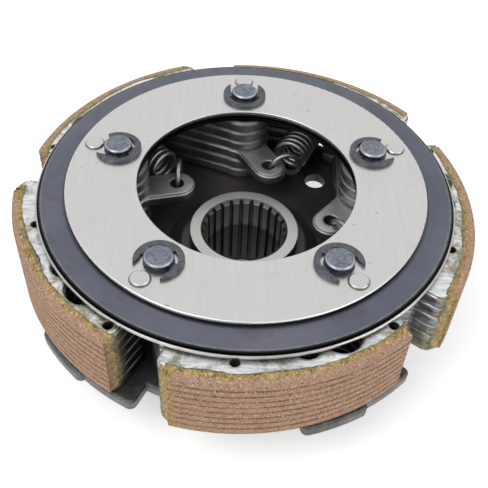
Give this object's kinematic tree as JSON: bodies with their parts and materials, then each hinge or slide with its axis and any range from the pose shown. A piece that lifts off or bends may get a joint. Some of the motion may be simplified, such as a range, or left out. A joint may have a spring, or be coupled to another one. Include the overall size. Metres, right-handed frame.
{
  "type": "centrifugal clutch shoe carrier",
  "caption": "Centrifugal wet clutch carrier: laminated shoes with bonded lining pivot on pins and are held in by coil springs round a splined hub.",
  "frame": {"origin": "on the hub axis, at the lower end of the hub", "axes": "+Z along the axis, from the hub end towards the clips; +Y through pivot pin 1"},
  "size_m": [0.1474, 0.1459, 0.057],
  "materials": {
    "hub_steel": "turned steel, satin",
    "base_steel": "pressed steel, grey, with a thin dark oil film inside",
    "washer_steel": "plain steel",
    "bright_plate": "bright satin steel",
    "blued_spring": "blued spring steel",
    "satin_ring": "satin steel",
    "pin_oxide": "black oxide, speckled",
    "clip_oxide": "dark blue-grey oxide",
    "shoe_top_steel": "bright stamped steel",
    "shoe_steel": "stamped steel with dark edges",
    "friction_lining": "matt brown friction material, grooved",
    "spring_wire": "dark spring wire"
  },
  "bodies": {
    "carrier": {"base_plate": "base_steel", "hub": "hub_steel", "thrust_washers": "washer_steel", "retaining_plate": "bright_plate", "dish_spring": "blued_spring", "side_ring": "satin_ring", "pivot_pin_1": "pin_oxide", "pivot_pin_2": "pin_oxide", "pivot_pin_3": "pin_oxide", "pivot_pin_4": "pin_oxide", "pivot_pin_5": "pin_oxide", "e_clip_1": "clip_oxide", "e_clip_2": "clip_oxide", "e_clip_3": "clip_oxide", "e_clip_4": "clip_oxide", "e_clip_5": "clip_oxide"},
    "shoe_1": {"upper_plates_1": "shoe_top_steel", "hook_plate_1": "shoe_steel", "lower_plates_1": "shoe_steel", "lining_1": "friction_lining", "spring_1": "spring_wire"},
    "shoe_2": {"upper_plates_2": "shoe_top_steel", "hook_plate_2": "shoe_steel", "lower_plates_2": "shoe_steel", "lining_2": "friction_lining", "spring_2": "spring_wire"},
    "shoe_3": {"upper_plates_3": "shoe_top_steel", "hook_plate_3": "shoe_steel", "lower_plates_3": "shoe_steel", "lining_3": "friction_lining", "spring_3": "spring_wire"},
    "shoe_4": {"upper_plates_4": "shoe_top_steel", "hook_plate_4": "shoe_steel", "lower_plates_4": "shoe_steel", "lining_4": "friction_lining", "spring_4": "spring_wire"},
    "shoe_5": {"upper_plates_5": "shoe_top_steel", "hook_plate_5": "shoe_steel", "lower_plates_5": "shoe_steel", "lining_5": "friction_lining", "spring_5": "spring_wire"}
  },
  "joints": [
    {"name": "shoe_swing_1", "type": "hinge", "parent": "carrier", "child": "shoe_1", "pos_m": [0, 0.0439, 0.03675], "axis": [0, 0, -1], "range_deg": [0, 4], "stiffness_Nm_per_rad": 1.4, "springref_deg": -20.05, "deforming": ["spring_1", "spring_2"]},
    {"name": "shoe_swing_2", "type": "hinge", "parent": "carrier", "child": "shoe_2", "pos_m": [-0.04175, 0.01357, 0.03675], "axis": [0, 0, -1], "range_deg": [0, 4], "stiffness_Nm_per_rad": 1.4, "springref_deg": -20.05, "deforming": ["spring_2", "spring_3"]},
    {"name": "shoe_swing_3", "type": "hinge", "parent": "carrier", "child": "shoe_3", "pos_m": [-0.0258, -0.03552, 0.03675], "axis": [0, 0, -1], "range_deg": [0, 4], "stiffness_Nm_per_rad": 1.4, "springref_deg": -20.05, "deforming": ["spring_3", "spring_4"]},
    {"name": "shoe_swing_4", "type": "hinge", "parent": "carrier", "child": "shoe_4", "pos_m": [0.0258, -0.03552, 0.03675], "axis": [0, 0, -1], "range_deg": [0, 4], "stiffness_Nm_per_rad": 1.4, "springref_deg": -20.05, "deforming": ["spring_4", "spring_5"]},
    {"name": "shoe_swing_5", "type": "hinge", "parent": "carrier", "child": "shoe_5", "pos_m": [0.04175, 0.01357, 0.03675], "axis": [0, 0, -1], "range_deg": [0, 4], "stiffness_Nm_per_rad": 1.4, "springref_deg": -20.05, "deforming": ["spring_5", "spring_1"]}
  ]
}
